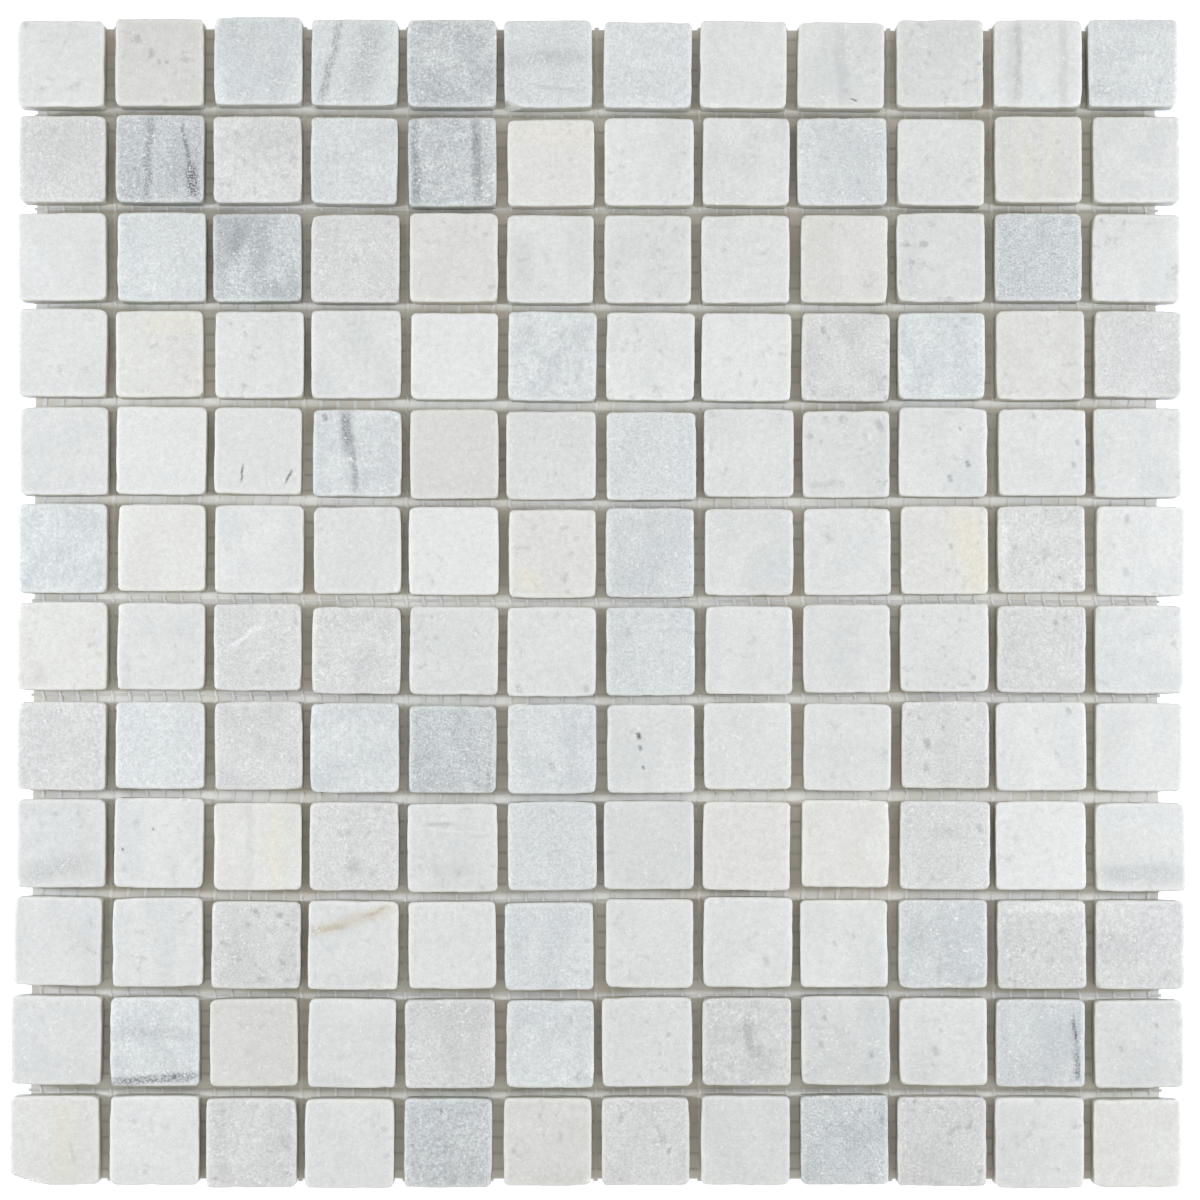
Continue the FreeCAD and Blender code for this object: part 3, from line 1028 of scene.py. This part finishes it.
# Row and column of the chip, then for each mark: across and up from the chip's middle, lean,
# half width and half length, strength, how far it is broken up into specks, and its mineral
# where that isn't the dark one.
MARKS = {
    (1, 2): [spot(-5.5, 6, 1.4, 0.35), spot(-2, 2.5, 1.2, 0.3), spot(0, 0, 0.7, 0.4)],
    (1, 4): [(-6.5, 0, -0.24, 1.6, 18, 0.5, 0.7), (3, 2, -0.2, 6, 14, 0.3, 0.7)],
    (1, 6): [(0, 1.5, 1.62, 3.4, 18, 0.16, 0.3), (2, -6.5, 1.4, 0.8, 9, 0.14, 0.2)],
    (1, 9): [(3.5, -9.2, 1.1, 0.3, 1.4, 0.8, 0), (0, 0, 0.1, 2.5, 16, 0.15, 0.3)],
    (1, 11): [
        (-5.2, 0, UPRIGHT, 1.4, 18, 0.35, 0.8, 0.3), (-6.5, 0, UPRIGHT, 2.4, 18, 0.1, 0.2),
        (6.5, 0, UPRIGHT, 1.8, 18, 0.24, 0.4, 0.5),
    ],
    (2, 2): [
        (-3, 0, -0.06, 1.5, 18, 0.55, 0.8), (7, 3, 0.22, 0.9, 9, 0.7, 0.7),
        (8.6, -6, 0.15, 2.4, 6.5, 0.95, 0.9),
    ],
    (2, 5): [(6.3, 0, UPRIGHT, 1.8, 18, 0.45, 0.4), (-9.8, 0, 0.05, 2, 18, 0.5, 0.6)],
    (2, 6): [(1, 7.5, LEVEL, 4.5, 18, 0.25, 0, HONEY)],
    (2, 11): [(-3.5, 0, 0.05, 1.6, 16, 0.28, 0.3, HONEY), (4, 1, UPRIGHT, 2, 16, 0.28, 0.3, HONEY)],
    (3, 3): [(-5, 4.5, -0.3, 3, 8, 0.25, 0.3), (5, -8.5, 0.3, 2.6, 4, 0.28, 0.4)],
    (3, 4): [(3, -6.5, 1.1, 0.5, 6.5, 0.35, 0, WHITE_VEIN)],
    (3, 6): [(-7, 0, UPRIGHT, 4, 9, 0.12, 0.2)],
    (4, 2): [(-1.5, 2, -1, 0.8, 2, 0.25, 0.3), (3, 8, LEVEL, 4, 9, 0.3, 0, HONEY)],
    (4, 9): [spot(-5.8, 6.9, 1.1, 0.45)],
    (5, 3): [(-3.8, -6, -0.1, 0.5, 3.2, 0.8, 0.3), (8.4, -6.8, -0.36, 0.5, 2.8, 0.85, 0.3)],
    (5, 4): [
        (-2.6, 6, 0.12, 2.4, 8, 0.65, 0.5), (-0.9, -4.5, 0.05, 1.4, 8, 0.5, 0.6),
        spot(-8.4, 9.4, 1.2, 0.5),
    ],
    (5, 9): [(8.8, 7.5, 0.5, 1.4, 2.6, 0.35, 0.4), (-6, -8, LEVEL, 1.5, 5, 0.2, 0.5)],
    (5, 10): [spot(4.3, 6, 0.6, 0.5), spot(6.4, -3, 1, 0.6), spot(1.8, -6.8, 1.1, 0.5)],
    (5, 11): [spot(9.2, 2.6, 1, 0.4), spot(8.2, -3.2, 1, 0.35), spot(-2.3, 9.4, 0.9, 0.3)],
    (6, 6): [(-6, -7, 0.7, 4, 5.5, 0.4, 0, HONEY)],
    (6, 10): [(7, 0, 0.25, 6, 18, 0.55, 0, HONEY), spot(1.6, 1, 0.9, 0.3)],
    (6, 11): [(-9.8, 0, 0.03, 1.4, 14, 0.4, 0, WHITE_VEIN), spot(4.7, -7.7, 0.6, 0.4)],
    (6, 12): [spot(-3.8, 8.2, 1.3, 0.35), spot(-4.1, -5.5, 1.5, 0.2)],
    (7, 1): [(-6, -7, 0.6, 2.5, 4, 0.15, 0.5, 0.5)],
    (7, 3): [(-3, 3, -0.96, 1, 8, 0.85, 0.4, WHITE_VEIN), (2, -2, -0.96, 0.8, 6, 0.5, 0.5, WHITE_VEIN)],
    (7, 6): [spot(-8.5, -9.5, 1.3, 0.3), spot(9, -9.5, 1.3, 0.3)],
    (7, 11): [spot(3.6, 7, 0.9, 0.4), spot(6.2, 8, 1, 0.3)],
    (8, 6): [spot(0, -4.6, 1.4, 0.3)],
    (8, 7): [spot(-3.2, 3.3, 1.1, 0.95), spot(-2.8, 0.2, 0.8, 0.9), spot(-2, -4.9, 0.6, 0.9)],
    (8, 10): [spot(-4.8, 0.2, 1.6, 0.45), spot(-0.6, 4.4, 1, 0.35), spot(-5.2, -6, 1.2, 0.35)],
    (8, 11): [spot(7, 9, 1.2, 0.35), spot(-1.2, 4, 0.9, 0.3), spot(3.8, -2, 1.3, 0.2)],
    (9, 1): [(-1, -6.5, 1.75, 4, 14, 0.24, 1)],
    (9, 2): [spot(-9.2, -1.7, 0.45, 0.9), spot(-1.4, 3.5, 0.5, 0.8)],
    (9, 3): [(4.6, 0, UPRIGHT, 2.6, 18, 0.35, 0.1, HONEY), (-2, 0, UPRIGHT, 1.5, 18, 0.1, 0.2)],
    (9, 4): [(0, -5, UPRIGHT, 3.5, 3, 0.22, 0.4)],
    (9, 5): [
        (-3.5, 6.3, 1.66, 0.8, 5, 0.3, 0.5), (0, -5.5, LEVEL, 2.6, 8, 0.14, 0.7, 0.4),
        (0, 4.6, 1.5, 0.4, 14, 0.3, 0.2, WHITE_VEIN),
    ],
    (9, 10): [spot(8.8, 4.5, 1.2, 0.3), (0, 3.5, LEVEL, 2.5, 6, 0.16, 0.4)],
    (9, 12): [(0, -7, LEVEL, 4, 16, 0.25, 0.8)],
    (10, 4): [
        (-1, 6.3, -1.27, 2.6, 16, 0.42, 0.3, RUSTY), (-6, 4.6, -1.42, 1.2, 6, 0.6, 0.7, 0.8),
        (6, 9, -1.2, 1, 5, 0.6, 0.8, 0.7),
    ],
    (10, 8): [spot(4.7, -4.8, 1.4, 0.25)],
    (10, 9): [spot(-2.5, 0, 0.9, 0.3), spot(2.5, 2, 0.8, 0.25)],
    (10, 11): [(0, 9.3, LEVEL, 1.8, 18, 0.5, 0, WHITE_VEIN)],
    (11, 2): [(0, -9.5, 1.64, 1.7, 18, 0.8, 0.7), (0, 2, LEVEL, 2.5, 18, 0.15, 0.4)],
    (11, 8): [(0.5, 1.5, 0.1, 1.6, 8, 0.28, 0.5), (3.2, -2.5, 0, 0.9, 2.5, 0.3, 0.4)],
    (11, 9): [spot(-5.3, 5.8, 0.9, 0.35), spot(6.6, -3.6, 1, 0.45), spot(-6.4, -1, 1, 0.3)],
    (11, 10): [spot(-2.2, -2.4, 1.4, 0.35), spot(-0.8, 3, 0.8, 0.25)],
    (11, 11): [
        (8.7, 3.8, 0.06, 0.55, 4.6, 1, 0.75), (9.3, -6, 0.03, 1.2, 5, 0.75, 0.8),
        (8.8, -1, 0.02, 1.8, 10.5, 0.28, 0.4),
    ],
    (11, 12): [spot(4.5, 4.8, 0.8, 0.35), spot(-4.8, -1.2, 0.9, 0.35)],
    (12, 1): [(2.4, 0, UPRIGHT, 2.8, 16, 0.3, 0.2, HONEY), (4.5, -3, 0.2, 0.8, 4, 0.2, 0.6)],
    (12, 5): [spot(-1.8, 8.4, 0.7, 0.6)],
    (12, 7): [
        (-6.2, 6.5, -0.3, 1, 2.2, 0.3, 0.3), (6.2, -2.2, -0.3, 0.8, 1.5, 0.35, 0.3),
        (3.8, 1.5, 0.1, 0.8, 4, 0.2, 0.3),
    ],
}
FLECKED = {1: [2, 10], 3: [10, 12], 4: [3, 9], 5: [9], 7: [10], 8: [10], 10: [3, 11, 12], 12: [3, 10]}
BRIGHT = {
    1: [3, 7, 11], 2: [3, 6, 7], 4: [5, 6, 7, 8, 10], 5: [2, 4], 6: [1, 2, 3, 5, 12], 7: [1, 4, 12],
    8: [2, 11, 12], 9: [3, 9, 11, 12],
}
DULL = {
    1: [2, 10], 2: [2, 11], 3: [10], 5: [5, 9], 8: [5], 9: [1, 7], 10: [10, 11],
    11: [1, 3, 7, 8, 9, 11, 12], 12: [6, 8, 10, 11],
}
print(f"{len(MARKS)} chips have marks of their own")

# %% The values that each chip carries
WANDER = 2.5
VEIN_SHAPE = 3
USUAL_LIGHT = (0.98, 1.02)
LIGHT_STEP = 0.045
USUAL_CLOUDS = (0.3, 1.0)
USUAL_FLECKS = [0.3, 0.5, 0.7]


def mark_values(row, column):
    """Where each mark of a chip lies, how far it reaches, and its tone, as named vectors."""
    values = {}
    marks = MARKS.get((row, column), [])
    for number in range(1, MARKS_IN_CHIP + 1):
        at, reach, tone = (0, 0, 0), (1, 1, 0), (0, 0, 0)
        if number <= len(marks):
            x, y, lean, half_width, half_length, strength, specks, *mineral = marks[number - 1]
            at = (x, y, lean)
            reach = (half_width, half_length, WANDER if half_length > VEIN_SHAPE * half_width else 0)
            tone = (strength, *(mineral or [SLATY]), specks)
        values[f"mark_at_{number}"] = at
        values[f"mark_reach_{number}"] = reach
        values[f"mark_tone_{number}"] = tone
    return values


def own_values(row, column):
    """How light, cloudy and flecked a chip is."""
    light = luck.uniform(*USUAL_LIGHT)
    if column in BRIGHT.get(row, []):
        light += LIGHT_STEP
    if column in DULL.get(row, []):
        light -= LIGHT_STEP
    flecks = luck.choice(USUAL_FLECKS)
    if column in FLECKED.get(row, []):
        flecks = 1.0
    return (light, luck.uniform(*USUAL_CLOUDS), flecks)


print("values ready to write")

# %% Write it all on the chips
FAR = 400
CHIP_SMOOTH = 40


def write(piece, name, values):
    """Write one vector for each vertex, for the finish to read."""
    layer = piece.data.attributes.new(name, "FLOAT_VECTOR", "POINT")
    layer.data.foreach_set("vector", np.ascontiguousarray(values, dtype=np.float32).ravel())


def cut_from_block(piece, number, chips):
    """Write on a row where in the stone, and where on its chip, each vertex is."""
    places = points_of(piece)
    middles = np.array([chip["centre"].x for chip in chips])
    nearest = np.abs(places[:, :1] - middles).argmin(axis=1)
    names = ["on_chip", "in_stone", "own", *mark_values(0, 0)]
    layers = {name: np.zeros_like(places) for name in names}
    for column, chip in enumerate(chips, start=1):
        here = nearest == column - 1
        square = Matrix.Rotation(-chip["turn"], 3, "Z")
        stretch = np.array([CHIP_SIDE / chip["size"].x, CHIP_SIDE / chip["size"].y, 1.0])
        local = (places[here] - np.array(chip["centre"])) @ np.array(square).T * stretch / MM
        quarter = np.array(Matrix.Rotation(luck.choice(QUARTERS), 3, luck.choice("XYZ")))
        layers["on_chip"][here] = local
        layers["in_stone"][here] = local @ quarter.T + [luck.uniform(-FAR, FAR) for _ in range(3)]
        layers["own"][here] = own_values(number, column)
        for name, value in mark_values(number, column).items():
            layers[name][here] = value
    for name, values in layers.items():
        write(piece, name, values)


for number, (piece, chips) in enumerate(zip(rows, chip_rows), start=1):
    cut_from_block(piece, number, chips)
    smooth(piece, CHIP_SMOOTH)
print("every chip has its own piece of stone")

# %% [markdown]
# ## Glass fibre and glue
# A yarn is a bundle of bright glass filaments, so it shines along its length in fine lines,
# which are lighter streaks in its colour: partly the filaments' own, partly painted sheen.
# The wefts are coloured darker, as painted shade for the thin shadow lines along them.
# The glue film is milky and a little glossy, and the filaments pressed in it show as
# hairlines. Both use noise that is drawn out along the yarns.

# %% Group: filaments
ALONG_X = (120.0, 9000.0, 9000.0)
ALONG_Y = (9000.0, 120.0, 9000.0)
STREAK_ROUGH = 0.6
STREAK_SHOWS = (0.35, 0.65)

filaments, start, end = new_group("filaments", ["Place", "Stretch"], [], ["Streak"])
drawn_out = product(filaments, start["Place"], start["Stretch"])
streaks = noise(filaments, drawn_out, 1.0, rough=STREAK_ROUGH)
filaments.links.new(fade(filaments, streaks, *STREAK_SHOWS), end["Streak"])
print("filaments group ready")

# %% Yarn and glue materials
STAIN_SIZE = 30 * MM
STAIN_SHOWS = (0.45, 0.65)
STREAK_RELIEF = 0.4
STREAK_DEPTH = 0.03 * MM
FIBRE_ROUGH = 0.4
TAN = (0.78, 0.74, 0.66, 1)


def fibre(name, stretch, dull, filament_and_sheen, stain=None):
    """A material of filaments that run one way, with lighter streaks that are partly painted sheen, with
    or without broad stains.
    """
    material = bpy.data.materials.new(name)
    material.use_nodes = True
    tree = material.node_tree
    shader = tree.nodes["Principled BSDF"]
    place = add(tree, "ShaderNodeTexCoord").outputs["Object"]
    streak = place_group(tree, filaments, {"Place": place, "Stretch": stretch})["Streak"]
    # The lighter streaks are partly the filaments' own colour and partly painted sheen.
    colour = blend(tree, streak, dull, filament_and_sheen)
    if stain:
        colour = blend(tree, fade(tree, noise(tree, place, STAIN_SIZE), *STAIN_SHOWS), colour, stain)
    tree.links.new(colour, shader.inputs["Base Color"])
    relief = {"Strength": STREAK_RELIEF, "Distance": STREAK_DEPTH, "Height": streak}
    tree.links.new(add(tree, "ShaderNodeBump", relief).outputs["Normal"], shader.inputs["Normal"])
    shader.inputs["Roughness"].default_value = FIBRE_ROUGH
    return material


# The wefts are coloured darker than the warps and the glue: painted shade for the thin shadow lines along
# them.
weft.data.materials.append(fibre("weft_glass_painted_shade", ALONG_X, (0.68, 0.66, 0.62, 1), (0.82, 0.80, 0.77, 1)))
warp_glass = fibre("warp_glass", ALONG_Y, (0.85, 0.84, 0.81, 1), (0.92, 0.91, 0.88, 1))
warp_one.data.materials.append(warp_glass)
warp_two.data.materials.append(warp_glass)
glue.data.materials.append(fibre("glue_film", ALONG_Y, (0.90, 0.88, 0.83, 1), (0.95, 0.93, 0.88, 1), TAN))
print("yarns and glue finished")

# %% [markdown]
# ## Light and floor
# The joints that run across the sheet are light and those that run up it are dark, so the
# light came from both sides, rather low, and hardly from the top or bottom of the sheet.
# The joints half way up the sheet are the lightest, so the lamps were near: two panels of
# cool light, a little below the middle. A soft warm sky stands for the room around. It is
# strong beside the panels, so that a sawn side that faces one isn't bleached.
# The floor is white for the camera and keeps the shadow that the sheet casts.

# %% Lights
PANEL_AWAY = 0.7
PANEL_ALONG = -0.012
PANEL_HEIGHT = 0.38
PANEL_LONG = 0.07
PANEL_HIGH = 0.3
PANEL_POWER = 2.5
LAMP_COLOUR = (0.91, 1.0, 1.13)


def side_panel(name, side):
    """A near panel of light, on the left (-1) or the right (1)."""
    place = (side * PANEL_AWAY, PANEL_ALONG, PANEL_HEIGHT)
    bpy.ops.object.light_add(type="AREA", location=place)
    panel = bpy.context.object
    panel.name = name
    panel.rotation_euler = (0, side * math.atan2(PANEL_AWAY, PANEL_HEIGHT), 0)
    panel.data.shape = "RECTANGLE"
    panel.data.size = PANEL_HIGH
    panel.data.size_y = PANEL_LONG
    panel.data.energy = PANEL_POWER
    panel.data.color = LAMP_COLOUR


side_panel("left_panel", -1)
side_panel("right_panel", 1)

# %% Sky
SKY_FILL = 0.635
WARM_ROOM = (1.0, 0.96, 0.87, 1)
WHITE = (1.0, 1.0, 1.0, 1)

world = bpy.data.worlds.new("studio")
bpy.context.scene.world = world
world.use_nodes = True
tree = world.node_tree
tree.nodes.clear()


def seen_directly(tree):
    """1 for what the camera sees, also in a gloss or through glass."""
    ray = add(tree, "ShaderNodeLightPath").outputs
    in_gloss_or_glass = sum_of(tree, "MAXIMUM", ray["Is Glossy Ray"], ray["Is Transmission Ray"])
    return sum_of(tree, "MAXIMUM", ray["Is Camera Ray"], in_gloss_or_glass)


fill = add(tree, "ShaderNodeBackground", {"Color": WARM_ROOM, "Strength": SKY_FILL})
backdrop = add(tree, "ShaderNodeBackground", {"Color": WHITE, "Strength": 1.0})
shown = {0: seen_directly(tree), 1: fill.outputs[0], 2: backdrop.outputs[0]}
either = add(tree, "ShaderNodeMixShader", shown)
add(tree, "ShaderNodeOutputWorld", {"Surface": either.outputs[0]})
print("lights ready")

# %% Floor
FLOOR_SIZE = 6.0
FLOOR_GAP = 0.05 * MM
FLOOR_PALE = (0.72, 0.72, 0.72, 1)
FLOOR_SEEN = (2.3, 2.45, 2.85, 1)

bpy.ops.object.select_all(action="DESELECT")
bpy.ops.mesh.primitive_plane_add(size=FLOOR_SIZE, location=(0, 0, -FLOOR_GAP))
floor = bpy.context.object
floor.name = "floor"
floor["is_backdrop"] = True
paper = bpy.data.materials.new("white_paper")
paper.use_nodes = True
tree = paper.node_tree
tree.nodes.clear()
seen = blend(tree, seen_directly(tree), FLOOR_PALE, FLOOR_SEEN)
matt = add(tree, "ShaderNodeBsdfDiffuse", {"Color": seen})
add(tree, "ShaderNodeOutputMaterial", {"Surface": matt.outputs[0]})
floor.data.materials.append(paper)
print("floor ready")

# %% [markdown]
# ## The sizes of the sheet
# The dressed sheet must stay inside the imported one, so both boxes are written down.

# %% Sizes and finish
dressed_low, dressed_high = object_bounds()
sizes = {
    "packed": [list(sheet_low), list(sheet_high)],
    "dressed": [list(dressed_low), list(dressed_high)],
}
for name, (low, high) in sizes.items():
    print(name, [f"{value / MM:.2f}" for value in low + high])
